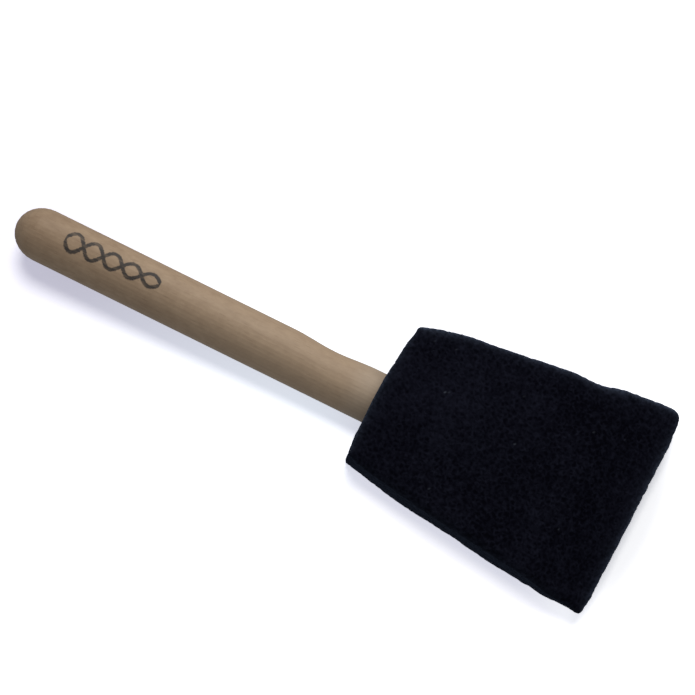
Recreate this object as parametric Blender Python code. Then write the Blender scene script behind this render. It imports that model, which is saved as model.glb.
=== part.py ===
"""Foam sponge brush: a turned wooden handle fixed in a moulded tongue that is hidden inside a foam head.

Metres, +X from the handle's butt to the foam's tip, +Y across the head, +Z up.
The origin is on the foam's flat underside, below the handle's axis, half way along the flat.
The handle's axis is level, half way up the foam.
"""

import math

import bmesh
import bpy

MM = 0.001
GAP = 0.3 * MM  # clearance that each piece keeps to its neighbours

# Foam head
HEAD_LENGTH = 64.5 * MM
BEVEL_LENGTH = 14.7 * MM
HEAD_THICKNESS = 19.0 * MM
TIP_THICKNESS = 2.0 * MM
LEFT_REACH = 16.5 * MM  # -Y side: distance from the handle's axis where its straight line meets the near end
LEFT_SLOPE = 0.114
LEFT_NEAR_DRAW = 1.2 * MM  # how far the near corner lies inside that line
LEFT_NEAR_DRAW_LENGTH = 21.0 * MM
LEFT_TIP_FLARE = -0.3 * MM  # how far the tip corner lies outside that line
LEFT_CORNER_RADIUS = 1.0 * MM
RIGHT_REACH = 19.6 * MM  # +Y side: the head sits a little off the handle's axis
RIGHT_SLOPE = 0.130
RIGHT_NEAR_DRAW = 1.9 * MM
RIGHT_NEAR_DRAW_LENGTH = 13.3 * MM
RIGHT_TIP_FLARE = 0.4 * MM
RIGHT_CORNER_RADIUS = 3.0 * MM
PINCH_DEPTH = 0.95 * MM  # shallow hollow in the +Y side, where the tongue ends
PINCH_FROM_NEAR = 44.4 * MM
PINCH_SPREAD = 5.0 * MM
NEAR_ARCH = 1.2 * MM  # the near edge's corners lie this far behind its middle
HEAD_SKEW = 0.034  # slope of the near edge and of the tip, slightly out of square

# Handle
BODY_RADIUS = 6.38 * MM
NECK_RADIUS = 6.28 * MM
EXPOSED_LENGTH = 93.8 * MM
DOME_LENGTH = 7.1 * MM
WAIST_DEPTH = 0.6 * MM  # hollow on the +Y side only
WAIST_FROM_HEAD = 13.2 * MM
WAIST_HALF_LENGTH = 10.8 * MM
SHOULDER_DEPTH = 2.0 * MM  # how far the full-size handle goes into the foam
TENON_RADIUS = 4.5 * MM
TENON_LENGTH = 15.0 * MM
TENON_CHAMFER = 0.6 * MM

# Tongue: a socket for the tenon, a tapered nose and a flat blade
SOCKET_RADIUS = 6.2 * MM
SOCKET_LENGTH = 18.0 * MM
NOSE_LENGTH = 8.0 * MM
BLADE_THICKNESS = 1.6 * MM
BLADE_ROOT_WIDTH = 15.0 * MM
BLADE_END_WIDTH = 37.0 * MM
BLADE_CORNER_RADIUS = 4.0 * MM
BLADE_FROM_SOCKET = 9.0 * MM
RIB_WIDTH = 1.2 * MM
RIB_HEIGHT = 0.6 * MM
RIB_LENGTH = 16.0 * MM
RIB_SETBACK = 3.0 * MM  # from the blade's free end
RIB_OFFSET = 11.0 * MM

# Staple and adhesive
WIRE_RADIUS = 0.4 * MM
STAPLE_FROM_SOCKET = 7.0 * MM  # middle of the crown, from the socket's open end
STAPLE_SPAN = 6.0 * MM
STAPLE_LEG_END = 1.6 * MM  # height of the leg ends above the handle's axis
STAPLE_BEND = 0.8 * MM
GLUE_THICKNESS = 0.4 * MM
GLUE_LENGTH = 14.0 * MM
GLUE_WIDTH = 19.6 * MM
GLUE_SETBACK = 2.0 * MM  # from the blade's free end

# Colour, roughness and metallic share of each material
BIRCH = ((0.36, 0.25, 0.16), 0.5, 0.0)
POLYPROPYLENE = ((0.62, 0.63, 0.62), 0.45, 0.0)
STEEL_WIRE = ((0.55, 0.55, 0.56), 0.35, 1.0)
ADHESIVE = ((0.75, 0.66, 0.42), 0.3, 0.0)
BLACK_FOAM = ((0.004, 0.004, 0.007), 0.95, 0.0)

# Places that follow from the sizes
AXIS_Z = HEAD_THICKNESS / 2
FLAT_LENGTH = HEAD_LENGTH - BEVEL_LENGTH
NEAR_X = -FLAT_LENGTH / 2
BUTT_X = NEAR_X - EXPOSED_LENGTH
SHOULDER_X = NEAR_X + SHOULDER_DEPTH
TENON_END_X = SHOULDER_X + TENON_LENGTH
SOCKET_X = SHOULDER_X + GAP
SOCKET_END_X = SOCKET_X + SOCKET_LENGTH
NOSE_END_X = SOCKET_END_X + NOSE_LENGTH
BLADE_X = SOCKET_X + BLADE_FROM_SOCKET
BLADE_END_X = NEAR_X + PINCH_FROM_NEAR
STAPLE_X = SOCKET_X + STAPLE_FROM_SOCKET
POCKET_HALF_HEIGHT = BLADE_THICKNESS / 2 + GLUE_THICKNESS + 2 * GAP

# Fineness of round and curved shapes
TURNED_SIDES = 40
DOME_STEPS = 8
WAIST_STEPS = 14
FLAT_STATIONS = 26
BEVEL_STATIONS = 4
HEAD_COLUMNS = 12
CORNER_STEPS = 5
PIN_SIDES = 16
WIRE_SECTION_STEPS = 2
SMOOTH_ANGLE = 35  # degrees between faces that still shade as one surface
CUTTER_OVERSHOOT = 5.0 * MM  # how far a cutter stands out of the piece that it opens


def clear_scene():
    for item in list(bpy.data.objects):
        bpy.data.objects.remove(item, do_unlink=True)


def material(name, colour, roughness, metallic):
    made = bpy.data.materials.new(name)
    made.use_nodes = True
    shader = made.node_tree.nodes["Principled BSDF"]
    shader.inputs["Base Color"].default_value = (*colour, 1.0)
    shader.inputs["Roughness"].default_value = roughness
    shader.inputs["Metallic"].default_value = metallic
    return made


def add_object(name, data):
    made = bpy.data.objects.new(name, data)
    bpy.context.scene.collection.objects.link(made)
    return made


def mesh_object(name, shape):
    """Turn a bmesh into an object, with its faces pointing out."""
    bmesh.ops.recalc_face_normals(shape, faces=shape.faces)
    data = bpy.data.meshes.new(name)
    shape.to_mesh(data)
    shape.free()
    return add_object(name, data)


def shade_round(piece):
    piece.data.shade_smooth()
    piece.data.set_sharp_from_angle(angle=math.radians(SMOOTH_ANGLE))


def make_helper(helper):
    """Mark a shape that only cuts or joins another, and is no piece of the brush."""
    helper.hide_render = True
    helper.display_type = "WIRE"


def combine(piece, helper, operation):
    make_helper(helper)
    step = piece.modifiers.new(helper.name, "BOOLEAN")
    step.operation = operation
    step.object = helper
    step.solver = "EXACT"


def turned(name, rings, start_tip=None):
    """Solid of circles about the X direction: rings are (x, y offset, radius), closed at both ends."""
    shape = bmesh.new()
    loops = []
    for x, offset, radius in rings:
        loop = []
        for side in range(TURNED_SIDES):
            angle = 2 * math.pi * side / TURNED_SIDES
            y = offset + radius * math.cos(angle)
            z = AXIS_Z + radius * math.sin(angle)
            loop.append(shape.verts.new((x, y, z)))
        loops.append(loop)
    for first, second in zip(loops, loops[1:]):
        for side in range(TURNED_SIDES):
            after = (side + 1) % TURNED_SIDES
            shape.faces.new((first[side], first[after], second[after], second[side]))
    if start_tip is None:
        shape.faces.new(loops[0])
    else:
        tip = shape.verts.new((start_tip, 0.0, AXIS_Z))
        for side in range(TURNED_SIDES):
            shape.faces.new((tip, loops[0][side], loops[0][(side + 1) % TURNED_SIDES]))
    shape.faces.new(loops[-1])
    return mesh_object(name, shape)


def plate(name, outline, low, high):
    """Flat outline in X and Y, extruded from low to high."""
    shape = bmesh.new()
    base = shape.faces.new([shape.verts.new((x, y, low)) for x, y in outline])
    raised = bmesh.ops.extrude_face_region(shape, geom=[base])["geom"]
    corners = [item for item in raised if isinstance(item, bmesh.types.BMVert)]
    bmesh.ops.translate(shape, verts=corners, vec=(0.0, 0.0, high - low))
    return mesh_object(name, shape)


def block_outline(x_start, x_end, width, y_middle=0.0):
    low = y_middle - width / 2
    high = y_middle + width / 2
    return [(x_start, low), (x_end, low), (x_end, high), (x_start, high)]


def upright_pin(name, x, low, high, radius):
    outline = []
    for side in range(PIN_SIDES):
        angle = 2 * math.pi * side / PIN_SIDES
        outline.append((x + radius * math.cos(angle), radius * math.sin(angle)))
    return plate(name, outline, low, high)


def staple_hole_places():
    return (("back", STAPLE_X - STAPLE_SPAN / 2), ("front", STAPLE_X + STAPLE_SPAN / 2))


# ---------------------------------------------------------------- handle

def waist_hollow(x):
    """Depth of the shallow hollow near the head, seen on the +Y side only."""
    along = (x - (NEAR_X - WAIST_FROM_HEAD)) / WAIST_HALF_LENGTH
    if abs(along) >= 1:
        return 0.0
    return WAIST_DEPTH * math.cos(along * math.pi / 2) ** 2


def body_ring(x):
    """Circle of the handle's body: the hollow moves its +Y side in and leaves its -Y side where it is."""
    reach = (x - BUTT_X) / EXPOSED_LENGTH
    hollow = waist_hollow(x)
    radius = BODY_RADIUS + (NECK_RADIUS - BODY_RADIUS) * reach
    return (x, -hollow / 2, radius - hollow / 2)


def handle_rings():
    rings = []
    for step in range(1, DOME_STEPS):
        angle = step / DOME_STEPS * math.pi / 2
        rings.append((BUTT_X + DOME_LENGTH * (1 - math.cos(angle)), 0.0, BODY_RADIUS * math.sin(angle)))
    waist_start = NEAR_X - WAIST_FROM_HEAD - WAIST_HALF_LENGTH
    rings.append(body_ring(BUTT_X + DOME_LENGTH))
    rings.append(body_ring((BUTT_X + DOME_LENGTH + waist_start) / 2))
    for step in range(WAIST_STEPS + 1):
        rings.append(body_ring(waist_start + 2 * WAIST_HALF_LENGTH * step / WAIST_STEPS))
    rings.append(body_ring(SHOULDER_X))
    rings.append((SHOULDER_X, 0.0, TENON_RADIUS))
    rings.append((TENON_END_X - TENON_CHAMFER, 0.0, TENON_RADIUS))
    rings.append((TENON_END_X, 0.0, TENON_RADIUS - TENON_CHAMFER))
    return rings


def make_handle():
    handle = turned("handle", handle_rings(), start_tip=BUTT_X)
    for place, x in staple_hole_places():
        hole = upright_pin(
            f"handle_hole_{place}",
            x,
            AXIS_Z + STAPLE_LEG_END - GAP,
            AXIS_Z + SOCKET_RADIUS,
            WIRE_RADIUS + GAP,
        )
        combine(handle, hole, "DIFFERENCE")
    handle.data.materials.append(material("birch", *BIRCH))
    shade_round(handle)


# ---------------------------------------------------------------- tongue

def nose_rings(grow=0.0):
    """Outside of the socket and of the nose that runs down into the blade."""
    blade_level = BLADE_THICKNESS / 2
    return [
        (SOCKET_X - grow, 0.0, SOCKET_RADIUS + grow),
        (SOCKET_END_X + grow, 0.0, SOCKET_RADIUS + grow),
        (NOSE_END_X + grow, 0.0, blade_level + grow),
    ]


def blade_outline(grow=0.0):
    """Flared blade, square at the socket, with rounded corners at its free end."""
    root = BLADE_ROOT_WIDTH / 2 + grow
    end = BLADE_END_WIDTH / 2 + grow
    start_x = BLADE_X - grow
    end_x = BLADE_END_X + grow
    radius = BLADE_CORNER_RADIUS + grow
    lean = math.atan2(end - root, end_x - start_x)
    centre_x = end_x - radius
    centre_y = end - radius * math.tan(lean) - radius / math.cos(lean)
    side_points = []
    for step in range(CORNER_STEPS + 1):
        angle = (math.pi / 2 + lean) * (1 - step / CORNER_STEPS)
        side_points.append((centre_x + radius * math.cos(angle), centre_y + radius * math.sin(angle)))
    upper = [(start_x, root)] + side_points
    lower = [(x, -y) for x, y in reversed(upper)]
    return upper + lower


def make_tongue():
    blade_half = BLADE_THICKNESS / 2
    tongue = plate("tongue", blade_outline(), AXIS_Z - blade_half, AXIS_Z + blade_half)
    combine(tongue, turned("tongue_nose", nose_rings()), "UNION")
    rib_end = BLADE_END_X - RIB_SETBACK
    rib_half = blade_half + RIB_HEIGHT
    for side, y in (("left", -RIB_OFFSET), ("right", RIB_OFFSET)):
        outline = block_outline(rib_end - RIB_LENGTH, rib_end, RIB_WIDTH, y)
        combine(tongue, plate(f"tongue_rib_{side}", outline, AXIS_Z - rib_half, AXIS_Z + rib_half), "UNION")
    bore_radius = TENON_RADIUS + GAP
    bore = turned(
        "tongue_bore",
        [(SOCKET_X - 2 * GAP, 0.0, bore_radius), (TENON_END_X + GAP, 0.0, bore_radius)],
    )
    combine(tongue, bore, "DIFFERENCE")
    for place, x in staple_hole_places():
        hole = upright_pin(f"tongue_hole_{place}", x, AXIS_Z, AXIS_Z + 2 * SOCKET_RADIUS, WIRE_RADIUS + GAP)
        combine(tongue, hole, "DIFFERENCE")
    tongue.data.materials.append(material("polypropylene", *POLYPROPYLENE))
    shade_round(tongue)


# ---------------------------------------------------------------- staple and adhesive

def make_staple():
    """Steel wire staple: its crown lies along the top of the socket and its legs go down into the tenon."""
    bottom = AXIS_Z + STAPLE_LEG_END
    bend_z = AXIS_Z + SOCKET_RADIUS + GAP + WIRE_RADIUS - STAPLE_BEND
    back_leg = STAPLE_X - STAPLE_SPAN / 2
    front_leg = STAPLE_X + STAPLE_SPAN / 2
    route = [(back_leg, bottom)]
    for bend_x, start in ((back_leg + STAPLE_BEND, math.pi), (front_leg - STAPLE_BEND, math.pi / 2)):
        for step in range(CORNER_STEPS):
            angle = start - math.pi / 2 * step / (CORNER_STEPS - 1)
            x = bend_x + STAPLE_BEND * math.cos(angle)
            z = bend_z + STAPLE_BEND * math.sin(angle)
            route.append((x, z))
    route.append((front_leg, bottom))
    wire = bpy.data.curves.new("socket_staple", "CURVE")
    wire.dimensions = "3D"
    wire.bevel_depth = WIRE_RADIUS
    wire.bevel_resolution = WIRE_SECTION_STEPS
    wire.use_fill_caps = True
    spline = wire.splines.new("POLY")
    spline.points.add(len(route) - 1)
    for point, (x, z) in zip(spline.points, route):
        point.co = (x, 0.0, z, 1.0)
    wire.materials.append(material("steel_wire", *STEEL_WIRE))
    add_object("socket_staple", wire)


def make_glue_films():
    """One film of adhesive on each face of the blade, between its ribs."""
    look = material("adhesive", *ADHESIVE)
    film_end = BLADE_END_X - GLUE_SETBACK
    outline = block_outline(film_end - GLUE_LENGTH, film_end, GLUE_WIDTH)
    inner = BLADE_THICKNESS / 2 + GAP
    outer = inner + GLUE_THICKNESS
    upper = plate("glue_film_upper", outline, AXIS_Z + inner, AXIS_Z + outer)
    lower = plate("glue_film_lower", outline, AXIS_Z - outer, AXIS_Z - inner)
    for film in (upper, lower):
        film.data.materials.append(look)


# ---------------------------------------------------------------- foam head

def rounded_end(reach, from_near, radius):
    """Draw a side in along a quarter circle over its last stretch before the tip."""
    into_corner = from_near - (HEAD_LENGTH - radius)
    if into_corner <= 0:
        return reach
    return reach - radius + math.sqrt(max(0.0, radius ** 2 - into_corner ** 2))


def side_reach(from_near, reach, slope, near_draw, draw_length, tip_flare):
    """Distance of a side from the handle's axis: a line, eased in at the near corner, flared at the tip."""
    eased = near_draw * max(0.0, 1 - from_near / draw_length) ** 2
    return reach + slope * from_near - eased + tip_flare * into_bevel(from_near)


def head_sides(from_near):
    """Y of the -Y side and of the +Y side, at a distance from the near end."""
    left = side_reach(
        from_near, LEFT_REACH, LEFT_SLOPE, LEFT_NEAR_DRAW, LEFT_NEAR_DRAW_LENGTH, LEFT_TIP_FLARE
    )
    right = side_reach(
        from_near, RIGHT_REACH, RIGHT_SLOPE, RIGHT_NEAR_DRAW, RIGHT_NEAR_DRAW_LENGTH, RIGHT_TIP_FLARE
    )
    right -= PINCH_DEPTH * math.exp(-(((from_near - PINCH_FROM_NEAR) / PINCH_SPREAD) ** 2))
    left = rounded_end(left, from_near, LEFT_CORNER_RADIUS)
    right = rounded_end(right, from_near, RIGHT_CORNER_RADIUS)
    return -left, right


def into_bevel(from_near):
    """0 up to the start of the chisel bevel, 1 at the tip."""
    return max(0.0, (from_near - FLAT_LENGTH) / BEVEL_LENGTH)


def head_half_thickness(from_near):
    return (HEAD_THICKNESS + (TIP_THICKNESS - HEAD_THICKNESS) * into_bevel(from_near)) / 2


def head_shift(from_near, y):
    """How far a point lies towards the tip: the whole head is out of square, and its near edge is arched."""
    fade = max(0.0, 1 - from_near / FLAT_LENGTH) ** 2
    return HEAD_SKEW * y + fade * NEAR_ARCH * (y / RIGHT_REACH) ** 2


def head_stations():
    """Distances from the near end: even steps to the bevel, then closer ones round the tip corners."""
    steps = [FLAT_LENGTH * step / FLAT_STATIONS for step in range(FLAT_STATIONS + 1)]
    straight = BEVEL_LENGTH - RIGHT_CORNER_RADIUS
    steps += [FLAT_LENGTH + straight * step / BEVEL_STATIONS for step in range(1, BEVEL_STATIONS + 1)]
    for step in range(1, CORNER_STEPS + 1):
        steps.append(HEAD_LENGTH - RIGHT_CORNER_RADIUS * (1 - math.sin(step / CORNER_STEPS * math.pi / 2)))
    steps.append(HEAD_LENGTH - LEFT_CORNER_RADIUS)
    return sorted(steps)


def head_layer(shape, upward):
    """Grid of points of the top (upward 1) or the underside (upward -1)."""
    layer = []
    for from_near in head_stations():
        left, right = head_sides(from_near)
        z = AXIS_Z + upward * head_half_thickness(from_near)
        row = []
        for column in range(HEAD_COLUMNS + 1):
            y = left + (right - left) * column / HEAD_COLUMNS
            row.append(shape.verts.new((NEAR_X + from_near + head_shift(from_near, y), y, z)))
        layer.append(row)
    return layer


def head_block():
    shape = bmesh.new()
    top = head_layer(shape, 1)
    under = head_layer(shape, -1)
    rows = range(len(top) - 1)
    columns = range(HEAD_COLUMNS)
    for layer in (top, under):
        for row in rows:
            for column in columns:
                near_pair = (layer[row][column], layer[row][column + 1])
                far_pair = (layer[row + 1][column + 1], layer[row + 1][column])
                shape.faces.new(near_pair + far_pair)
    for row in rows:
        for column in (0, HEAD_COLUMNS):
            upper = (top[row][column], top[row + 1][column])
            shape.faces.new(upper + (under[row + 1][column], under[row][column]))
    for row in (0, len(top) - 1):
        for column in columns:
            upper = (top[row][column], top[row][column + 1])
            shape.faces.new(upper + (under[row][column + 1], under[row][column]))
    return mesh_object("foam_head", shape)


def make_foam_head():
    """Foam block with a pocket that clears the handle's end, the socket, the blade and the staple."""
    foam = head_block()
    mouth_radius = BODY_RADIUS + GAP
    mouth = turned(
        "pocket_mouth",
        [(NEAR_X - CUTTER_OVERSHOOT, 0.0, mouth_radius), (SOCKET_END_X + GAP, 0.0, mouth_radius)],
    )
    combine(foam, mouth, "DIFFERENCE")
    combine(foam, turned("pocket_nose", nose_rings(GAP)), "DIFFERENCE")
    slit = plate(
        "pocket_slit", blade_outline(GAP), AXIS_Z - POCKET_HALF_HEIGHT, AXIS_Z + POCKET_HALF_HEIGHT
    )
    combine(foam, slit, "DIFFERENCE")
    crown_top = AXIS_Z + SOCKET_RADIUS + 2 * WIRE_RADIUS + 2 * GAP
    crown_outline = block_outline(
        STAPLE_X - STAPLE_SPAN / 2 - WIRE_RADIUS - GAP,
        STAPLE_X + STAPLE_SPAN / 2 + WIRE_RADIUS + GAP,
        2 * (WIRE_RADIUS + GAP),
    )
    combine(foam, plate("pocket_crown", crown_outline, AXIS_Z, crown_top), "DIFFERENCE")
    foam.data.materials.append(material("black_foam", *BLACK_FOAM))


def main():
    clear_scene()
    make_handle()
    make_tongue()
    make_staple()
    make_glue_films()
    make_foam_head()


main()
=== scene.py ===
"""Looks for the foam sponge brush: turned birch handle, open-cell foam head, floor, light and camera."""

import math

import bmesh
import bpy
import numpy as np
from mathutils import Matrix, Vector, noise
from mathutils.bvhtree import BVHTree


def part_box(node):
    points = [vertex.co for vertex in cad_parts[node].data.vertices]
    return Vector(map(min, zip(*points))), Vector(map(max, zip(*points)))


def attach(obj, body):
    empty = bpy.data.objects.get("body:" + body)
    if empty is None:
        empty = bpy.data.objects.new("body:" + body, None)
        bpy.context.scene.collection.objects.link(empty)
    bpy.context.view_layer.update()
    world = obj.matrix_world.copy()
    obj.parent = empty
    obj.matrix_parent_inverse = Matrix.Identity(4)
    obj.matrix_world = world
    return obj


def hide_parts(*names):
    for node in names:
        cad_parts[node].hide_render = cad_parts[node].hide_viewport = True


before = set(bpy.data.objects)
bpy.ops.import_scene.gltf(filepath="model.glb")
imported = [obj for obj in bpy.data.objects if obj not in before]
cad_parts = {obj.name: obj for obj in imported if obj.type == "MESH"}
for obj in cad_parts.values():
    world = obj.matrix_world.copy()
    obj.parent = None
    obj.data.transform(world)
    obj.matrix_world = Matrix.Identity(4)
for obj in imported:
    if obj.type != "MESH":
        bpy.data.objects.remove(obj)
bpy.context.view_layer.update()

MM = 0.001

# ---------------------------------------------------------------- places read from the frame

HANDLE_LOW, HANDLE_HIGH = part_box("handle")
FOAM_LOW, FOAM_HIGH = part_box("foam_head")
AXIS_Z = (HANDLE_LOW.z + HANDLE_HIGH.z) / 2


def rise(value, low, high):
    """0 at low, 1 at high, eased between them."""
    share = np.clip((value - low) / (high - low), 0.0, 1.0)
    return share * share * (3 - 2 * share)


# ---------------------------------------------------------------- node helpers


class Nodes:
    """Short way to build a material's node tree."""

    def __init__(self, tree):
        self.tree = tree

    def add(self, kind, **settings):
        node = self.tree.nodes.new(kind)
        for name, value in settings.items():
            setattr(node, name, value)
        return node

    def put(self, socket, value):
        """Link an output to a socket, or set the socket's own value."""
        if isinstance(value, bpy.types.NodeSocket):
            self.tree.links.new(value, socket)
        elif isinstance(value, tuple) and len(value) == 3 and socket.type == "RGBA":
            socket.default_value = (*value, 1.0)
        else:
            socket.default_value = value

    def math(self, operation, first, second=0.0, clamp=False):
        node = self.add("ShaderNodeMath", operation=operation, use_clamp=clamp)
        for socket, value in zip(node.inputs, (first, second)):
            self.put(socket, value)
        return node.outputs[0]

    def times(self, first, *others):
        """Product of two or more values."""
        for other in others:
            first = self.math("MULTIPLY", first, other)
        return first

    def smooth(self, value, low, high):
        """0 at low, 1 at high, eased between them."""
        node = self.add("ShaderNodeMapRange", interpolation_type="SMOOTHSTEP")
        self.put(node.inputs["Value"], value)
        self.put(node.inputs["From Min"], low)
        self.put(node.inputs["From Max"], high)
        return node.outputs["Result"]

    def fall(self, value, low, high):
        """1 at low, 0 at high, eased between them."""
        return self.math("SUBTRACT", 1.0, self.smooth(value, low, high))

    def spread(self, value, low, high, to_low, to_high):
        """to_low at low, to_high at high, in a straight line between them."""
        node = self.add("ShaderNodeMapRange")
        for name, amount in zip(
            ("Value", "From Min", "From Max", "To Min", "To Max"), (value, low, high, to_low, to_high)
        ):
            self.put(node.inputs[name], amount)
        return node.outputs["Result"]

    def mix(self, share, first, second):
        """The first colour where share is 0, the second where it is 1."""
        node = self.add("ShaderNodeMix", data_type="RGBA")
        self.put(node.inputs["Factor"], share)
        self.put(node.inputs[6], first)
        self.put(node.inputs[7], second)
        return node.outputs[2]

    def layered(self, colour, layers):
        """The colour with each layer's share of its own colour mixed in, one after another."""
        for share, tint in layers:
            colour = self.mix(share, colour, tint)
        return colour

    def split(self, vector):
        node = self.add("ShaderNodeSeparateXYZ")
        self.put(node.inputs[0], vector)
        return node.outputs

    def scaled(self, vector, scale, location=(0.0, 0.0, 0.0)):
        node = self.add("ShaderNodeMapping")
        self.put(node.inputs["Vector"], vector)
        node.inputs["Scale"].default_value = scale
        node.inputs["Location"].default_value = location
        return node.outputs["Vector"]

    def drawn_out(self, vector, share):
        """The same place with less of its X, so that a pattern on it is longer along the handle."""
        return self.scaled(vector, (share, 1.0, 1.0))

    def noise(self, vector, per_metre, detail=3.0, roughness=0.5, distortion=0.0):
        node = self.add("ShaderNodeTexNoise")
        self.put(node.inputs["Vector"], vector)
        node.inputs["Scale"].default_value = per_metre
        node.inputs["Detail"].default_value = detail
        node.inputs["Roughness"].default_value = roughness
        node.inputs["Distortion"].default_value = distortion
        return node.outputs["Fac"]

    def cells(self, vector, per_metre, feature="F1"):
        node = self.add("ShaderNodeTexVoronoi", feature=feature)
        self.put(node.inputs["Vector"], vector)
        node.inputs["Scale"].default_value = per_metre
        return node.outputs["Distance"]

    def bump(self, height, distance, strength, normal=None):
        node = self.add("ShaderNodeBump")
        self.put(node.inputs["Height"], height)
        node.inputs["Distance"].default_value = distance
        node.inputs["Strength"].default_value = strength
        if normal is not None:
            self.put(node.inputs["Normal"], normal)
        return node.outputs["Normal"]

    def stored(self, name):
        """A number that the mesh keeps at each point."""
        return self.add("ShaderNodeAttribute", attribute_name=name).outputs["Fac"]


def new_material(name):
    made = bpy.data.materials.new(name)
    made.use_nodes = True
    tree = Nodes(made.node_tree)
    shader = made.node_tree.nodes["Principled BSDF"]
    place = tree.add("ShaderNodeTexCoord").outputs["Object"]
    return made, tree, shader, place


# ---------------------------------------------------------------- printed mark

INK_START = 13.1 * MM  # from the butt
INK_LENGTH = 25.0 * MM
INK_TURNS = 2.5
INK_REACH_START = 2.5 * MM  # half height of the twist's loops, at the butt's end and at the other
INK_REACH_END = 1.5 * MM
INK_STROKE = 0.46 * MM  # half width of each strand
INK_SOFT = 0.14 * MM
INK_RAGGED = 0.10 * MM  # how far the strokes' edges wander
INK_END_SOFT = 0.3 * MM
INK_TURN = math.radians(7.0)  # round the handle from its top, towards +Y
INK_COLOUR = (0.030, 0.027, 0.027)
INK_COVER = 0.95
INK_WORN = 0.74  # what is left of the ink where it is worn most


def ink_mark(tree, place):
    """Printed twist of two strands, its loops falling in height, with soft edges worn by the grain."""
    x, y, z = tree.split(place)
    radius = (HANDLE_HIGH.z - HANDLE_LOW.z) / 2
    height = tree.math("SUBTRACT", z, AXIS_Z)
    angle = tree.math("SUBTRACT", tree.math("ARCTAN2", y, height), INK_TURN)
    across = tree.math("MULTIPLY", angle, radius)
    along = tree.math("SUBTRACT", x, HANDLE_LOW.x + INK_START)

    wave_number = INK_TURNS * 2 * math.pi / INK_LENGTH
    reach = tree.spread(along, 0.0, INK_LENGTH, INK_REACH_START, INK_REACH_END)
    phase = tree.math("MULTIPLY", along, wave_number)
    wave = tree.times(tree.math("SINE", phase), reach)
    slope = tree.times(tree.math("COSINE", phase), reach, wave_number)
    stretch = tree.math("SQRT", tree.math("ADD", tree.times(slope, slope), 1.0))
    over = tree.math("ABSOLUTE", tree.math("SUBTRACT", across, wave))
    under = tree.math("ABSOLUTE", tree.math("ADD", across, wave))
    away = tree.math("DIVIDE", tree.math("MINIMUM", over, under), stretch)

    ragged = tree.spread(tree.noise(place, 2200.0), 0.3, 0.7, -INK_RAGGED, INK_RAGGED)
    away = tree.math("ADD", away, ragged)
    strokes = tree.fall(away, INK_STROKE - INK_SOFT, INK_STROKE + INK_SOFT)
    started = tree.smooth(along, 0.0, INK_END_SOFT)
    not_ended = tree.fall(along, INK_LENGTH - INK_END_SOFT, INK_LENGTH)
    on_top = tree.smooth(height, 0.0, 1.0 * MM)
    patches = tree.noise(tree.drawn_out(place, 0.25), 1400.0, detail=4.0)
    worn = tree.spread(patches, 0.3, 0.55, INK_WORN, 1.0)
    return tree.times(strokes, tree.times(started, not_ended), on_top, worn)


# ---------------------------------------------------------------- handle's and hidden pieces' materials

BIRCH_PALE = (0.402, 0.287, 0.190)
BIRCH_WARM = (0.352, 0.243, 0.156)
BIRCH_MOTTLE = (0.295, 0.200, 0.127)
BIRCH_LATE_WOOD = (0.262, 0.172, 0.106)
BIRCH_STREAK = (0.275, 0.182, 0.114)
BIRCH_FIBRE = (0.245, 0.162, 0.100)
BIRCH_PORE = (0.165, 0.100, 0.058)
BIRCH_BUTT_DARK = (0.215, 0.140, 0.085)
BIRCH_NECK_PALE = (0.520, 0.400, 0.285)
BIRCH_MOUTH_LIGHT = (0.540, 0.475, 0.400)
PITH_SHIFT = (0.0, 30 * MM, 21 * MM)  # takes the handle's place to its place in the tree, whose heart is at 0
PITH_LEAN = 0.035  # how far the tree's heart leans away along the handle
PITH_WOBBLE = 3.5 * MM
LAYERS_PER_METRE = 620.0
BUTT_DARK_LENGTH = 22 * MM  # darker from the butt to here
NECK_PALE_START = 75 * MM  # paler from here before the foam
NECK_PALE_FULL = 20 * MM
MOUTH_LIGHT_START = 9 * MM  # and painted light, paler again and greyer, from here: it lifts the foam's shade on the handle
MOUTH_LIGHT_FULL = 2 * MM


def late_wood(tree, place):
    """1 in the dense wood at the end of each year's layer."""
    wobble = tree.noise(tree.drawn_out(place, 0.12), 60.0, detail=2.0)
    x, y, z = tree.split(tree.scaled(place, (1.0, 1.0, 1.0), PITH_SHIFT))
    squares = tree.math("ADD", tree.math("POWER", y, 2.0), tree.math("POWER", z, 2.0))
    leaning = tree.math("ADD", tree.math("SQRT", squares), tree.math("MULTIPLY", x, PITH_LEAN))
    depth = tree.math("ADD", leaning, tree.math("MULTIPLY", wobble, PITH_WOBBLE))
    year = tree.math("FRACT", tree.math("MULTIPLY", depth, LAYERS_PER_METRE))
    return tree.times(tree.smooth(year, 0.45, 0.96), tree.fall(year, 0.965, 1.0))


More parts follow.
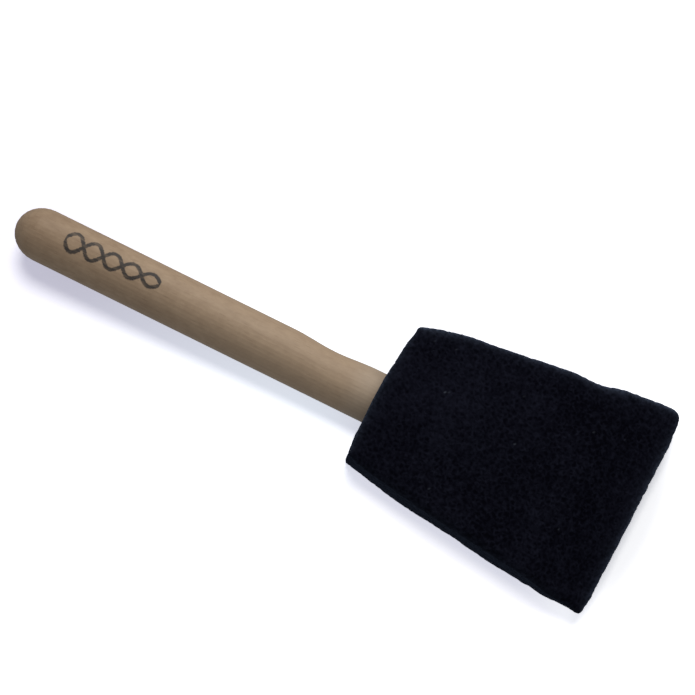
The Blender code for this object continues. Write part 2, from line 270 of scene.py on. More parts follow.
def make_birch():
    """Pale turned wood: growth layers seen through the turning, fine fibres and short pores, sanded satin."""
    made, tree, shader, place = new_material("birch_turned")
    fibres = tree.noise(tree.drawn_out(place, 0.018), 3400.0, detail=4.0, roughness=0.6)
    streaks = tree.noise(tree.scaled(place, (0.03, 1.0, 1.0), (0.02, 0.0, 0.0)), 700.0, roughness=0.55)
    clouds = tree.noise(tree.drawn_out(place, 0.35), 110.0)
    mottle = tree.noise(tree.drawn_out(place, 0.65), 560.0, roughness=0.65)
    pores = tree.fall(tree.cells(tree.drawn_out(place, 0.09), 2100.0), 0.10, 0.24)
    x = tree.split(place)[0]
    near_butt = tree.fall(x, HANDLE_LOW.x, HANDLE_LOW.x + BUTT_DARK_LENGTH)
    towards_neck = tree.smooth(x, FOAM_LOW.x - NECK_PALE_START, FOAM_LOW.x - NECK_PALE_FULL)
    lit_at_mouth = tree.smooth(x, FOAM_LOW.x - MOUTH_LIGHT_START, FOAM_LOW.x - MOUTH_LIGHT_FULL)
    layers = (
        (tree.spread(clouds, 0.35, 0.68, 0.0, 1.0), BIRCH_WARM),
        (tree.spread(mottle, 0.36, 0.68, 0.0, 0.72), BIRCH_MOTTLE),
        (tree.times(late_wood(tree, place), 0.12), BIRCH_LATE_WOOD),
        (tree.spread(streaks, 0.38, 0.70, 0.0, 0.11), BIRCH_STREAK),
        (tree.spread(fibres, 0.35, 0.75, 0.0, 0.09), BIRCH_FIBRE),
        (tree.times(pores, 0.30), BIRCH_PORE),
        (tree.times(near_butt, 0.22), BIRCH_BUTT_DARK),
        (tree.times(towards_neck, 0.25), BIRCH_NECK_PALE),
        # painted light just before the foam, which lifts the foam's shade on the handle
        (tree.times(lit_at_mouth, 0.22), BIRCH_MOUTH_LIGHT),
        (tree.times(ink_mark(tree, place), INK_COVER), INK_COLOUR),
    )
    tree.put(shader.inputs["Base Color"], tree.layered(BIRCH_PALE, layers))
    rough = tree.spread(fibres, 0.3, 0.7, 0.44, 0.60)
    tree.put(shader.inputs["Roughness"], tree.math("ADD", rough, tree.times(pores, 0.12)))
    shader.inputs["Specular IOR Level"].default_value = 0.28
    relief = tree.math("ADD", tree.times(fibres, 0.5), tree.times(streaks, 0.35))
    relief = tree.math("SUBTRACT", relief, tree.times(pores, 0.6))
    tree.put(shader.inputs["Normal"], tree.bump(relief, 0.05 * MM, 0.5))
    return made


PLASTIC_PALE = (0.66, 0.67, 0.655)
PLASTIC_FLOW = (0.585, 0.595, 0.59)
PLASTIC_CLOUD = (0.52, 0.535, 0.54)
PLASTIC_DEPTH = 2 * MM  # how far light goes into it


def make_polypropylene():
    """Natural moulded plastic: off-white, cloudy, with faint flow lines and a finely eroded mould surface."""
    made, tree, shader, place = new_material("polypropylene_moulded")
    flow = tree.noise(tree.drawn_out(place, 0.25), 260.0, distortion=0.6)
    eroded = tree.noise(place, 4200.0, roughness=0.6)
    clouds = tree.noise(place, 90.0, detail=2.0)
    layers = (
        (tree.spread(flow, 0.35, 0.65, 0.0, 1.0), PLASTIC_FLOW),
        (tree.spread(clouds, 0.4, 0.7, 0.0, 0.35), PLASTIC_CLOUD),
    )
    tree.put(shader.inputs["Base Color"], tree.layered(PLASTIC_PALE, layers))
    tree.put(shader.inputs["Roughness"], tree.spread(eroded, 0.3, 0.7, 0.34, 0.52))
    shader.inputs["Subsurface Weight"].default_value = 0.12
    shader.inputs["Subsurface Radius"].default_value = (PLASTIC_DEPTH, PLASTIC_DEPTH, PLASTIC_DEPTH)
    tree.put(shader.inputs["Normal"], tree.bump(eroded, 0.02 * MM, 0.5))
    return made


STEEL_BRIGHT = (0.58, 0.58, 0.60)
STEEL_STAIN = (0.40, 0.39, 0.38)


def make_wire():
    """Bright drawn steel, with fine lines left by the die."""
    made, tree, shader, place = new_material("steel_drawn")
    lines = tree.noise(tree.scaled(place, (0.05, 1.0, 0.05)), 9000.0)
    stain = tree.noise(place, 500.0)
    colour = tree.mix(tree.spread(stain, 0.4, 0.7, 0.0, 1.0), STEEL_BRIGHT, STEEL_STAIN)
    tree.put(shader.inputs["Base Color"], colour)
    shader.inputs["Metallic"].default_value = 1.0
    tree.put(shader.inputs["Roughness"], tree.spread(lines, 0.3, 0.7, 0.22, 0.42))
    tree.put(shader.inputs["Normal"], tree.bump(lines, 0.01 * MM, 0.5))
    return made


AMBER_PALE = (0.76, 0.66, 0.43)
AMBER_DEEP = (0.66, 0.53, 0.29)
AMBER_BUBBLE = (0.86, 0.80, 0.64)


def make_adhesive():
    """Set hot-melt adhesive: pale amber, glossy, with small bubbles and a rippled skin."""
    made, tree, shader, place = new_material("adhesive_amber")
    ripples = tree.noise(place, 420.0, roughness=0.55, distortion=0.8)
    bubble = tree.fall(tree.cells(place, 1500.0), 0.12, 0.22)
    layers = (
        (tree.spread(ripples, 0.35, 0.65, 0.0, 1.0), AMBER_DEEP),
        (tree.times(bubble, 0.5), AMBER_BUBBLE),
    )
    tree.put(shader.inputs["Base Color"], tree.layered(AMBER_PALE, layers))
    tree.put(shader.inputs["Roughness"], tree.spread(ripples, 0.3, 0.7, 0.18, 0.38))
    height = tree.math("SUBTRACT", ripples, tree.times(bubble, 0.4))
    tree.put(shader.inputs["Normal"], tree.bump(height, 0.12 * MM, 0.6))
    return made


# ---------------------------------------------------------------- foam's material

FOAM_DARK = (0.0024, 0.0023, 0.0046)
FOAM_WALL = (0.0092, 0.0098, 0.0172)
# colour of the painted highlight along the foam's cut edges
FOAM_EDGE_HIGHLIGHT = (0.042, 0.053, 0.080)
LINT_COLOUR = (0.30, 0.34, 0.42)
SHEEN_TINT = (0.50, 0.66, 1.0, 1.0)
WARP = 0.5 * MM  # how far the cell walls are bent from straight
CELLS_PER_METRE = 860.0
HOLLOWS_PER_METRE = 620.0


def foam_share(tree, place, net, grain, moved):
    """How much of the cell walls' paler colour shows at each place."""
    hollow = tree.smooth(tree.cells(moved, HOLLOWS_PER_METRE), 0.15, 0.75)
    uneven = tree.spread(grain, 0.3, 0.7, 0.25, 0.95)
    share = tree.times(net, uneven, tree.spread(hollow, 0.0, 1.0, 1.0, 0.45))
    clouds = tree.noise(place, 90.0, roughness=0.6)
    share = tree.math("ADD", share, tree.spread(clouds, 0.35, 0.65, -0.12, 0.18))
    speckle = tree.noise(place, 1150.0, detail=1.0)
    share = tree.math("ADD", share, tree.spread(speckle, 0.30, 0.70, -0.22, 0.28))
    # with a painted highlight on top over the socket
    return tree.math("ADD", share, tree.times(tree.stored("painted_top_highlight"), 0.26), clamp=True)


def make_foam_look():
    """Open-cell foam dyed black: dark pores in a net of slightly lighter walls, with a painted highlight
    along the cut edges and another on top over the socket.
    """
    made, tree, shader, place = new_material("foam_black")
    warp = tree.add("ShaderNodeTexNoise")
    tree.put(warp.inputs["Vector"], place)
    warp.inputs["Scale"].default_value = 900.0
    shifted = tree.add("ShaderNodeVectorMath", operation="MULTIPLY_ADD")
    tree.put(shifted.inputs[0], warp.outputs["Color"])
    shifted.inputs[1].default_value = (WARP, WARP, WARP)
    tree.put(shifted.inputs[2], place)
    moved = shifted.outputs[0]
    net = tree.fall(tree.cells(moved, CELLS_PER_METRE, "DISTANCE_TO_EDGE"), 0.0, 0.42)
    grain = tree.noise(place, 1300.0, detail=2.0)
    threads = tree.spread(grain, 0.3, 0.7, 0.50, 1.30)
    # painted highlight along the cut edges, broken up by the grain
    frayed_highlight = tree.math("MULTIPLY", tree.stored("painted_edge_highlight"), threads, clamp=True)
    layers = (
        (foam_share(tree, place, net, grain, moved), FOAM_WALL),
        (frayed_highlight, FOAM_EDGE_HIGHLIGHT),
        (tree.stored("lint"), LINT_COLOUR),
    )
    tree.put(shader.inputs["Base Color"], tree.layered(FOAM_DARK, layers))
    tree.put(shader.inputs["Roughness"], tree.spread(grain, 0.2, 0.8, 0.88, 1.0))
    shader.inputs["Specular IOR Level"].default_value = 0.0
    shader.inputs["Sheen Weight"].default_value = 0.095
    shader.inputs["Sheen Roughness"].default_value = 0.25
    shader.inputs["Sheen Tint"].default_value = SHEEN_TINT
    fine = tree.bump(net, 0.14 * MM, 0.6)
    tree.put(shader.inputs["Normal"], tree.bump(grain, 0.10 * MM, 0.6, fine))
    return made


# ---------------------------------------------------------------- camera and light

LENS = 100.0
SENSOR = 36.0
VIEW_AZIMUTH = 26.5
VIEW_ELEVATION = 80.0
VIEW_WIDTH = 161.4 * MM  # what the frame takes in at the handle's height
AIM = Vector((-36.10 * MM, 7.90 * MM, AXIS_Z))
NEAREST_SEEN = 0.01

WHITE = (1.0, 1.0, 1.0)
WORLD_LIGHT = 0.335
WORLD_COLOUR = (0.955, 0.98, 1.0)
LIGHT_DISTANCE = 1.0
FLOOR_LIGHT = 0.560
FLOOR_LIGHT_SIZE = 0.30
FLOOR_LIGHT_AZIMUTH = 195.0
FLOOR_LIGHT_TILT = 14.0  # from straight above
FLOOR_LIGHT_COLOUR = (1.0, 0.99, 0.97)
KEY_LIGHT = 0.87
KEY_SIZE = 1.25
KEY_AZIMUTH = 180.0
KEY_ELEVATION = 39.0
KEY_COLOUR = (1.0, 0.985, 0.955)


def direction(azimuth, elevation):
    """Unit vector towards a place seen at that compass turn from -Y and that height, both in degrees."""
    turn = math.radians(azimuth)
    lift = math.radians(elevation)
    return Vector((math.sin(turn) * math.cos(lift), -math.cos(turn) * math.cos(lift), math.sin(lift)))


def make_camera():
    data = bpy.data.cameras.new("camera")
    data.lens = LENS
    data.sensor_width = SENSOR
    data.clip_start = NEAREST_SEEN
    camera = bpy.data.objects.new("camera", data)
    bpy.context.scene.collection.objects.link(camera)
    back = direction(VIEW_AZIMUTH, VIEW_ELEVATION)
    turn = math.radians(VIEW_AZIMUTH)
    right = Vector((math.cos(turn), math.sin(turn), 0.0))
    placed = Matrix((right, back.cross(right), back)).transposed().to_4x4()
    placed.translation = AIM + back * (VIEW_WIDTH * LENS / SENSOR)
    camera.matrix_world = placed
    bpy.context.scene.camera = camera


def make_area_light(name, towards, size, strength, colour, lit):
    """Round soft light on some objects, which still casts the shadows of all of them.

    Strength is the share of itself that a white face looking at the light would send back.
    """
    data = bpy.data.lights.new(name, "AREA")
    data.shape = "DISK"
    data.size = size
    data.color = colour
    data.energy = strength * math.pi ** 2 * LIGHT_DISTANCE ** 2
    light = bpy.data.objects.new(name, data)
    bpy.context.scene.collection.objects.link(light)
    light.location = Vector((AIM.x, AIM.y, 0.0)) + towards * LIGHT_DISTANCE
    light.rotation_mode = "QUATERNION"
    light.rotation_quaternion = towards.to_track_quat("Z", "Y")
    group = bpy.data.collections.new(name + "_lights")
    for item in lit:
        group.objects.link(item)
    light.light_linking.receiver_collection = group


def make_world():
    """Pale sky light, seen as plain white by the camera."""
    world = bpy.data.worlds.new("studio")
    bpy.context.scene.world = world
    world.use_nodes = True
    nodes = world.node_tree.nodes
    links = world.node_tree.links
    sky = nodes["Background"]
    sky.inputs["Color"].default_value = (*WORLD_COLOUR, 1.0)
    sky.inputs["Strength"].default_value = WORLD_LIGHT
    seen = nodes.new("ShaderNodeBackground")
    seen.inputs["Color"].default_value = (*WHITE, 1.0)
    path = nodes.new("ShaderNodeLightPath")
    either = nodes.new("ShaderNodeMixShader")
    links.new(path.outputs["Is Camera Ray"], either.inputs[0])
    links.new(sky.outputs[0], either.inputs[1])
    links.new(seen.outputs[0], either.inputs[2])
    links.new(either.outputs[0], nodes["World Output"].inputs["Surface"])


def make_lights(floor, brush):
    overhead = direction(FLOOR_LIGHT_AZIMUTH, 90.0 - FLOOR_LIGHT_TILT)
    make_area_light("floor_light", overhead, FLOOR_LIGHT_SIZE, FLOOR_LIGHT, FLOOR_LIGHT_COLOUR, [floor])
    behind = direction(KEY_AZIMUTH, KEY_ELEVATION)
    make_area_light("key_light", behind, KEY_SIZE, KEY_LIGHT, KEY_COLOUR, brush)
    make_world()
    bpy.context.scene.view_settings.view_transform = "Standard"


# ---------------------------------------------------------------- floor

FLOOR_HALF = 6.0
FLOOR_GAP = 0.02 * MM  # between the foam and the floor
FLOOR_DIP = 6.5 * MM  # the paper sweep sags towards the butt
SLOPE_START = FOAM_LOW.x - 4 * MM
SLOPE_END = HANDLE_LOW.x - 20 * MM
SLOPE = (  # shares of the dip along X: a straight slope with a soft bend at each end
    (-FLOOR_HALF, 1.0),
    (SLOPE_END - 20 * MM, 1.0),
    (SLOPE_END, 0.93),
    (SLOPE_START - 9 * MM, 0.07),
    (SLOPE_START, 0.015),
    (SLOPE_START + 7 * MM, 0.0),
    (FLOOR_HALF, 0.0),
)

PAPER = (0.93, 0.93, 0.93)
PAPER_MOTTLE = (0.91, 0.91, 0.915)
# the floor's glow is painted light: a weak glow paints the shadows darker, a strong one paints them lighter,
# and far away it paints the floor white
GLOW_AT_BUTT = (0.262, 0.250, 0.357)
GLOW_CHANGES = (  # along X: where a change starts, where it ends, and the glow that it ends in
    (HANDLE_LOW.x - 10 * MM, FOAM_LOW.x - 10 * MM, (0.500, 0.545, 0.630)),
    (FOAM_LOW.x - 12 * MM, FOAM_LOW.x + 8 * MM, (0.520, 0.525, 0.610)),
    (FOAM_HIGH.x - 20 * MM, FOAM_HIGH.x - 4 * MM, (0.66, 0.67, 0.72)),
)
GLOW_BESIDE_HEAD = (0.630, 0.630, 0.700)
HEAD_SIDE_Y = -16.5 * MM  # the head's -Y side starts here, near the handle
HEAD_SIDE_SLOPE = -0.114
BESIDE_START = 0.8 * MM  # the glow changes this far out from that side
BESIDE_FULL = 3.2 * MM
BESIDE_EASE = 8 * MM  # and this far along it
GLOW_PAST_TIP = (0.250, 0.255, 0.285)
POOL_HALF_LENGTH = 11 * MM  # the weak glow past the tip, a painted shade, is half of an oval pool, centred on the tip
POOL_HALF_WIDTH = 34 * MM
POOL_Y = 1 * MM
POOL_CORE = 0.35  # share of the pool where it is at its full strength
POOL_START = FOAM_HIGH.x - 6 * MM  # along X it sets in here
POOL_FULL = FOAM_HIGH.x + 3 * MM
FAR_START = 100 * MM  # from here outwards the floor turns to a glow of full white, whatever light reaches it
FAR_FULL = 200 * MM


def glow_beside_head(tree, x, y):
    """1 a little way out from the head's -Y side, where a stronger glow paints the head's shadow lighter."""
    into_head = tree.math("SUBTRACT", x, FOAM_LOW.x)
    side = tree.math("ADD", tree.times(into_head, HEAD_SIDE_SLOPE), HEAD_SIDE_Y)
    gap = tree.math("SUBTRACT", side, y)
    return tree.times(tree.smooth(gap, BESIDE_START, BESIDE_FULL), tree.smooth(into_head, 0.0, BESIDE_EASE))


def glow_past_tip(tree, place, x):
    """1 in the half of the pool that lies past the tip, where a weak glow paints a soft shade."""
    pool = tree.add("ShaderNodeVectorMath", operation="LENGTH")
    scale = (1 / POOL_HALF_LENGTH, 1 / POOL_HALF_WIDTH, 0.0)
    shift = (-FOAM_HIGH.x / POOL_HALF_LENGTH, -POOL_Y / POOL_HALF_WIDTH, 0.0)
    tree.put(pool.inputs[0], tree.scaled(place, scale, shift))
    past = tree.smooth(x, POOL_START, POOL_FULL)
    return tree.times(past, tree.fall(pool.outputs["Value"], POOL_CORE, 1.0))


def painted_floor_glow(tree, place):
    """Painted cool glow, which sets how dark the shadows are: weak under the butt and just past the tip,
    stronger beside the head, white far away.
    """
    x, y, _ = tree.split(place)
    changes = [(tree.smooth(x, start, end), reached) for start, end, reached in GLOW_CHANGES]
    changes.append((glow_beside_head(tree, x, y), GLOW_BESIDE_HEAD))
    changes.append((glow_past_tip(tree, place, x), GLOW_PAST_TIP))
    offset = tree.add("ShaderNodeVectorMath", operation="DISTANCE")
    tree.put(offset.inputs[0], place)
    offset.inputs[1].default_value = (AIM.x, AIM.y, 0.0)
    changes.append((tree.smooth(offset.outputs["Value"], FAR_START, FAR_FULL), WHITE))
    return tree.layered(GLOW_AT_BUTT, changes)


def make_floor_look():
    """White studio paper with a painted glow of its own, which keeps the shadows light."""
    made, tree, shader, place = new_material("studio_white")
    mottle = tree.noise(place, 9.0, detail=2.0)
    colour = tree.mix(tree.spread(mottle, 0.3, 0.7, 0.0, 1.0), PAPER, PAPER_MOTTLE)
    tree.put(shader.inputs["Base Color"], colour)
    shader.inputs["Roughness"].default_value = 0.85
    shader.inputs["Specular IOR Level"].default_value = 0.0
    tree.put(shader.inputs["Emission Color"], painted_floor_glow(tree, place))
    shader.inputs["Emission Strength"].default_value = 1.0
    return made


def make_floor():
    """Paper sweep: level under the head, then falling away in a straight slope under the handle."""
    points = []
    for x, share in SLOPE:
        for y in (-FLOOR_HALF, FLOOR_HALF):
            points.append((x, y, FOAM_LOW.z - FLOOR_GAP - FLOOR_DIP * share))
    faces = [(2 * i, 2 * i + 2, 2 * i + 3, 2 * i + 1) for i in range(len(SLOPE) - 1)]
    data = bpy.data.meshes.new("floor")
    data.from_pydata(points, [], faces)
    data.shade_smooth()
    floor = bpy.data.objects.new("floor", data)
    bpy.context.scene.collection.objects.link(floor)
    data.materials.append(make_floor_look())
    floor.visible_diffuse = False  # the brush gets no light back from the floor
    floor.visible_glossy = False
    return floor


# ---------------------------------------------------------------- foam block's sizes

FOAM_SPACING = 0.40 * MM
EDGE_ROUND = 1.7 * MM
SURFACE_DEPTH = 0.5 * MM  # a point this close to the block's outside belongs to it, and not to the pocket
LEAST_PROBE = 0.3 * MM  # the block's thickness is read at least this far inside its outline
SMOOTH_ROUNDS = 1
SIDE_SWELL = 0.20 * MM  # the foam's sides stand this far out
SWELL_DEPTH = 0.9 * MM  # down to this depth inside them
SWELL_EASE = 0.6 * MM
BOTH_FACES = (1, -1)
CORNER_SHIFTS = (  # how corners are pulled, in millimetres: end, side, which faces, reach and shift
    (-1, 1, BOTH_FACES, 2.6, (0.45, 0.35, 0.0)),
    (-1, -1, (1,), 2.6, (0.22, 0.20, -0.1)),
    (-1, -1, (-1,), 2.6, (-0.45, -0.12, 0.0)),
    (1, -1, BOTH_FACES, 2.4, (-0.38, -0.10, 0.0)),
    (1, 1, BOTH_FACES, 4.2, (-0.42, 0.38, 0.0)),
)
FACE_EASE = 5 * MM  # a pull on one face dies away over this height on both sides of the middle
SIDE_SHIFTS = (  # how the long sides are pulled, in millimetres: side, place from the tip, reach and shift
    (1, -17.0, 2.5, 0.25),
    (1, -5.5, 3.5, 0.24),
    (1, -31.0, 7.0, -0.12),
    (-1, -11.0, 2.6, 0.36),
)
SIDE_EASE = (13 * MM, 18 * MM)  # across the head: a pull on a side starts and is full at these places
NEAR_PULL = 0.10 * MM  # the near edge is drawn in a little, and more on the +Y side
NEAR_PULL_SIDE = 0.26 * MM
NEAR_PULL_START = (2 * MM, 8 * MM)
NEAR_PULL_END = (15.5 * MM, 18 * MM)
NEAR_PULL_LENGTH = 6 * MM
BULGE_HEIGHT = 0.7 * MM  # over the socket, on top only
BULGE_HALF_WIDTH = 9.0 * MM
BULGE_FULL_LENGTH = 12 * MM
BULGE_LENGTH = 32.0 * MM
BULGE_EASE = (7.5 * MM, 9.3 * MM)  # above the axis
WAVE_HEIGHT = 0.16 * MM
WAVE_SIZE = 13.0 * MM
GRAIN_HEIGHT = 0.07 * MM
GRAIN_SIZE = 2.3 * MM
PORE_DEPTH = 0.17 * MM
PORE_SIZE = 1.0 * MM
PORE_REACH = 0.55  # share of its cell that a pore takes up
EDGE_RAGGED = 1.4  # how much deeper the relief is along the cut edges
RAGGED_REACH = 1.5 * MM
MOUTH_DEPTH = 4.0 * MM  # near the handle's hole the relief dies away, so that it stays off the handle
MOUTH_EASE = (0.8 * MM, 2.0 * MM)
LINT_ON_TOP = (  # known fibre ends, in millimetres along and across, with how pale they are
    (-10.9, 6.8, 0.16),
    (-10.1, 7.3, 0.06),
    (8.1, 3.4, 0.10),
    (-4.5, -14.1, 0.08),
    (25.5, -9.2, 0.08),
    (5.5, 14.2, 0.05),
)
LINT_ELSEWHERE = 14
LINT_PALENESS = (0.02, 0.07)
HIGHLIGHT_CENTRE = (-9.0, 7.0)  # in millimetres, over the socket, where the top is painted paler: a painted highlight
HIGHLIGHT_REACH = (17.0, 10.0)
HIGHLIGHT_ABOVE = 6 * MM  # only on top, this far above the axis and higher
PALE_RIM = (0.70, 0.40 * MM)  # painted highlight along the cut edges: how strong it is, and how fast it fades inwards: a sharp rim
PALE_BAND = (0.26, 1.2 * MM)  # and a wider band
PALE_HEIGHT = (1.2 * MM, 3.0 * MM)  # the painted highlight ends between these distances from the flat faces
PALE_ON_SIDE = (0.62, 0.14)  # strength of the painted highlight at the lower and at the upper edge, on the shaded -Y side
PALE_ELSEWHERE = (0.5, 1.0)
PALE_TURN = 2 * MM  # the lower edge's strength turns into the upper one's within this distance of the axis

# ---------------------------------------------------------------- foam block's mesh


def closed_copy(node):
    """The CAD node's mesh with its split corners joined again, as a bmesh."""
    shape = bmesh.new()
    shape.from_mesh(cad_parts[node].data)
    bmesh.ops.remove_doubles(shape, verts=shape.verts, dist=1e-6)
    bmesh.ops.recalc_face_normals(shape, faces=shape.faces)
    return shape


def plan_outline(shape):
    """Edges round the block's top: start points, end points and inward directions, in plan."""
    least_height = AXIS_Z + 0.5 * MM  # leaves out the pocket's floor
    top = {f for f in shape.faces if f.normal.z > 0.5 and f.calc_center_median().z > least_height}
    starts, ends, inward = [], [], []
    for edge in shape.edges:
        inside = [f for f in edge.link_faces if f in top]
        if len(inside) != 1:
            continue
        first, second = (vertex.co.xy for vertex in edge.verts)
        side = Vector((first.y - second.y, second.x - first.x)).normalized()
        if side.dot(inside[0].calc_center_median().xy - first) < 0:
            side.negate()
        starts.append(first)
        ends.append(second)
        inward.append(side)
    return np.array(starts), np.array(ends), np.array(inward)


def nearest_on_outline(points, outline, batch=4000):
    """For each plan point: signed depth inside the outline, the nearest outline point and the way in."""
    starts, ends, inward = outline
    runs = ends - starts
    lengths = (runs ** 2).sum(1)
    depth = np.empty(len(points))
    place = np.empty((len(points), 2))
    way_in = np.empty((len(points), 2))
    for low in range(0, len(points), batch):
        part = points[low:low + batch]
        gaps = part[:, None] - starts[None]
        share = np.clip((gaps * runs).sum(2) / lengths, 0.0, 1.0)
        feet = starts[None] + share[..., None] * runs[None]
        away = ((part[:, None] - feet) ** 2).sum(2)
        best = away.argmin(1)
        rows = np.arange(len(part))
        place[low:low + batch] = feet[rows, best]
        way_in[low:low + batch] = inward[best]
        offset = part - feet[rows, best]
        depth[low:low + batch] = (offset * inward[best]).sum(1)
    return depth, place, way_in


def half_thickness(shape, probes):
    """Half the block's thickness at each plan point."""
    tree = BVHTree.FromBMesh(shape)
    half = np.empty(len(probes))
    for index, (x, y) in enumerate(probes):
        hit = tree.ray_cast(Vector((x, y, 1.0)), Vector((0.0, 0.0, -1.0)))[0]
        half[index] = (hit.z if hit is not None else FOAM_HIGH.z) - AXIS_Z
    return half


def even_mesh(shape):
    """Closed mesh of even small faces with the same surface."""
    data = bpy.data.meshes.new("foam_coarse")
    shape.to_mesh(data)
    coarse = bpy.data.objects.new("foam_coarse", data)
    bpy.context.scene.collection.objects.link(coarse)
    step = coarse.modifiers.new("even", "REMESH")
    step.mode = "VOXEL"
    step.voxel_size = FOAM_SPACING
    graph = bpy.context.evaluated_depsgraph_get()
    fine = bpy.data.meshes.new_from_object(coarse.evaluated_get(graph))
    bpy.data.objects.remove(coarse)
    bpy.data.meshes.remove(data)
    return fine


def points_of(data):
    flat = np.empty(len(data.vertices) * 3)
    data.vertices.foreach_get("co", flat)
    return flat.reshape(-1, 3)


def store_points(data, points):
    data.vertices.foreach_set("co", points.astype(np.float32).ravel())
    data.update()


def store_share(data, name, share):
    """Keep a number at each point of the mesh, for the material to read."""
    kept = data.attributes.new(name, "FLOAT", "POINT")
    kept.data.foreach_set("value", share.astype(np.float32))


def normals_of(data):
    flat = np.empty(len(data.vertices) * 3)
    data.vertex_normals.foreach_get("vector", flat)
    return flat.reshape(-1, 3)


def smoothed(data, points, rounds):
    """Points moved half way to the middle of their neighbours, a few times over."""
    flat = np.empty(len(data.edges) * 2, np.int64)
    data.edges.foreach_get("vertices", flat)
    first, second = flat.reshape(-1, 2).T
    count = np.bincount(flat, minlength=len(points))[:, None]
    for _ in range(rounds):
        total = np.zeros_like(points)
        np.add.at(total, first, points[second])
        np.add.at(total, second, points[first])
        points = 0.5 * points + 0.5 * total / count
    return points


def rounded_edges(points, half, depth, place, way_in):
    """Bend the edges of the top and of the underside into quarter circles, and leave the plan's corners."""
    above = np.sign(points[:, 2] - AXIS_Z)
    below_face = half - abs(points[:, 2] - AXIS_Z)
    radius = np.minimum(EDGE_ROUND, 0.92 * half)  # the tip's thin edge gets a smaller one
    in_plan = 1 - np.clip(depth, 0.0, None) / radius
    in_height = 1 - np.clip(below_face, 0.0, None) / radius
    reach = np.maximum(in_plan, in_height)
    bent = (in_plan > 0) & (in_height > 0) & (reach > 1 - SURFACE_DEPTH / radius)
    safe = np.where(bent, reach, 1.0)
    angle = math.pi / 4 * (1 + in_plan / safe - in_height / safe)
    new_depth = radius * (1 - reach * np.sin(angle))
    new_below = radius * (1 - reach * np.cos(angle))
    result = points.copy()
    result[bent, :2] = (place + way_in * new_depth[:, None])[bent]
    result[bent, 2] = (AXIS_Z + above * (half - new_below))[bent]
    return result


def pull_corners_and_sides(points, outside, corners):
    """Move the block's outside, in place, where the real cut strays from the straight one."""
    for end, side, faces, reach, shift in CORNER_SHIFTS:
        corner = corners[np.argmax(corners @ (2.0 * end, side))]
        for face in faces:
            share = np.exp(-(((points[:, :2] - corner) ** 2).sum(1)) / (reach * MM) ** 2) * outside
            share *= rise(face * (points[:, 2] - AXIS_Z), -FACE_EASE, FACE_EASE)
            points += share[:, None] * np.array(shift) * MM
    for side, from_tip, reach, shift in SIDE_SHIFTS:
        share = np.exp(-(((points[:, 0] - FOAM_HIGH.x) / MM - from_tip) / reach) ** 2)
        share *= rise(side * points[:, 1], *SIDE_EASE) * outside
        points[:, 1] += side * shift * MM * share


def pull_near_edge(points, outside, from_near):
    """Draw the near edge in, in place."""
    on_side = rise(points[:, 1], *NEAR_PULL_START) * (1 - rise(points[:, 1], *NEAR_PULL_END))
    pull = NEAR_PULL + NEAR_PULL_SIDE * on_side
    points[:, 0] += pull * (1 - rise(from_near, 0.0, NEAR_PULL_LENGTH)) * outside


def lift_over_socket(points, outside, from_near):
    """Swell the top over the socket, in place."""
    lift = np.exp(-((points[:, 1] / BULGE_HALF_WIDTH) ** 2))
    lift *= 1 - rise(from_near, BULGE_FULL_LENGTH, BULGE_LENGTH)
    lift *= rise(points[:, 2] - AXIS_Z, *BULGE_EASE)
    points[:, 2] += BULGE_HEIGHT * lift * outside


def foam_relief(points):
    """Height of the surface's unevenness at each point: slow waves, grain, and open pores."""
    height = np.empty(len(points))
    for index, point in enumerate(points):
        place = Vector(point)
        waves = noise.noise(place / WAVE_SIZE)
        grain = noise.noise(place / GRAIN_SIZE)
        cell = noise.voronoi(place / PORE_SIZE)[0][0]
        pit = max(0.0, 1 - cell / PORE_REACH)
        height[index] = WAVE_HEIGHT * waves + GRAIN_HEIGHT * grain - PORE_DEPTH * pit
    return height


def relief_strength(points, from_near, depth, below_face):
    """Share of the relief at each point: none at the handle's hole, and more along the cut edges."""
    handle_radius = (HANDLE_HIGH.y - HANDLE_LOW.y) / 2
    off_handle = np.hypot(points[:, 1], points[:, 2] - AXIS_Z) - handle_radius
    at_mouth = np.where(from_near < MOUTH_DEPTH, rise(off_handle, *MOUTH_EASE), 1.0)
    ragged = 1 + EDGE_RAGGED * np.exp(-(np.hypot(depth, below_face) / RAGGED_REACH) ** 2)
    return at_mouth * ragged


def edge_highlight_share(points, place, way_in, below_face):
    """Painted highlight along the cut edges at each point: a sharp rim and a wider band, weak at the upper
    edge on the shaded -Y side.
    """
    plan_gap = np.clip(((points[:, :2] - place) * way_in).sum(1), 0.0, None)
    edge_light = sum(pale * np.exp(-plan_gap / fade) for pale, fade in (PALE_RIM, PALE_BAND))
    edge_light *= 1 - rise(below_face, *PALE_HEIGHT)
    high = rise(points[:, 2] - AXIS_Z, -PALE_TURN, PALE_TURN)
    on_side, elsewhere = (low + (top - low) * high for low, top in (PALE_ON_SIDE, PALE_ELSEWHERE))
    leads_to_plus_y = way_in[:, 1] > 0.7  # so the edge is on the -Y side
    return edge_light * np.where(leads_to_plus_y, on_side, elsewhere)


def top_highlight_share(points):
    """1 on top over the socket, where a painted highlight lies."""
    offset = ((points[:, :2] / MM - HIGHLIGHT_CENTRE) / HIGHLIGHT_REACH) ** 2
    return np.exp(-offset.sum(1)) * (points[:, 2] > AXIS_Z + HIGHLIGHT_ABOVE)


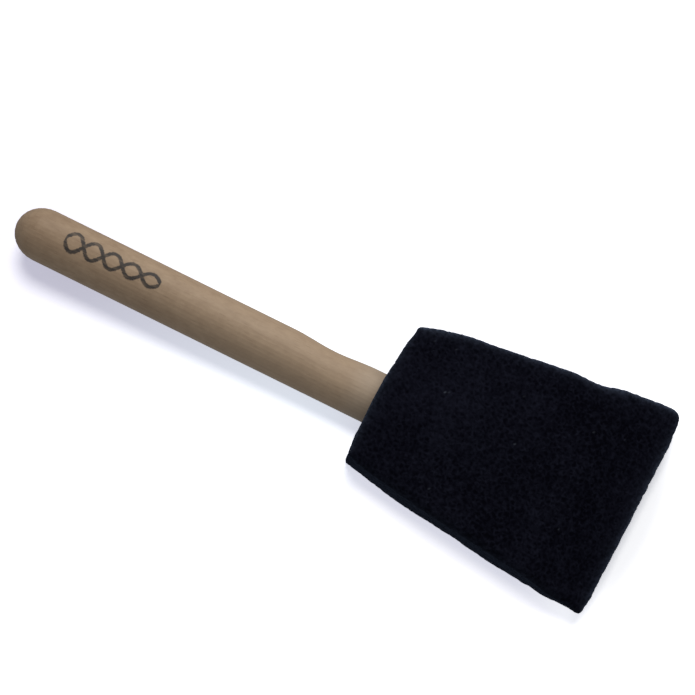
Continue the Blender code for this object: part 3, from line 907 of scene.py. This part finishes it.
def lint_share(points, outside):
    """Above 0 where a pale fibre end is caught in the foam: a few known ones on top, and strays all round."""
    share = np.zeros(len(points))
    draws = np.random.default_rng(7)
    strays = draws.choice(np.flatnonzero(outside), LINT_ELSEWHERE, replace=False)
    share[strays] = draws.uniform(*LINT_PALENESS, LINT_ELSEWHERE)
    for x, y, strength in LINT_ON_TOP:
        place = np.array((x * MM, y * MM, FOAM_HIGH.z))
        share[((points - place) ** 2).sum(1).argmin()] = strength
    return share


def make_foam_block(look):
    """The foam head again: the same block and pocket, with rounded uneven edges and open pores."""
    shape = closed_copy("foam_head")
    outline = plan_outline(shape)
    data = even_mesh(shape)
    points = points_of(data)
    depth, place, way_in = nearest_on_outline(points[:, :2], outline)
    half = half_thickness(shape, place + way_in * np.maximum(depth, LEAST_PROBE)[:, None])
    shape.free()
    below_face = half - abs(points[:, 2] - AXIS_Z)
    outside = np.minimum(below_face, depth) < SURFACE_DEPTH

    points = rounded_edges(points, half, depth, place, way_in)
    points = smoothed(data, points, SMOOTH_ROUNDS)
    on_side = rise(SWELL_DEPTH - depth, 0.0, SWELL_EASE) * outside
    points[:, :2] -= way_in * (SIDE_SWELL * on_side)[:, None]
    pull_corners_and_sides(points, outside, outline[0])
    from_near = points[:, 0] - FOAM_LOW.x
    pull_near_edge(points, outside, from_near)
    lift_over_socket(points, outside, from_near)

    store_points(data, points)
    relief = foam_relief(points) * relief_strength(points, from_near, depth, below_face) * outside
    points = points + normals_of(data) * relief[:, None]
    points[:, 2] = np.maximum(points[:, 2], FOAM_LOW.z)
    store_points(data, points)

    # painted highlight along the cut edges
    store_share(data, "painted_edge_highlight", edge_highlight_share(points, place, way_in, below_face) * outside)
    # painted highlight on top over the socket
    store_share(data, "painted_top_highlight", top_highlight_share(points))
    store_share(data, "lint", lint_share(points, outside))
    data.materials.clear()
    data.materials.append(look)
    data.shade_smooth()
    block = bpy.data.objects.new("foam_block", data)
    bpy.context.scene.collection.objects.link(block)
    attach(block, "root")
    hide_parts("foam_head")
    return block


# ---------------------------------------------------------------- the whole scene


def dress(node, look):
    """Give a CAD node its full material in place of the plain one."""
    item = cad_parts[node]
    for index in range(len(item.data.materials)):
        item.data.materials[index] = look


make_camera()
ground = make_floor()
dress("handle", make_birch())
dress("tongue", make_polypropylene())
dress("socket_staple", make_wire())
glue = make_adhesive()
dress("glue_film_upper", glue)
dress("glue_film_lower", glue)
foam = make_foam_block(make_foam_look())
make_lights(ground, [foam] + [item for name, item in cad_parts.items() if name != "foam_head"])
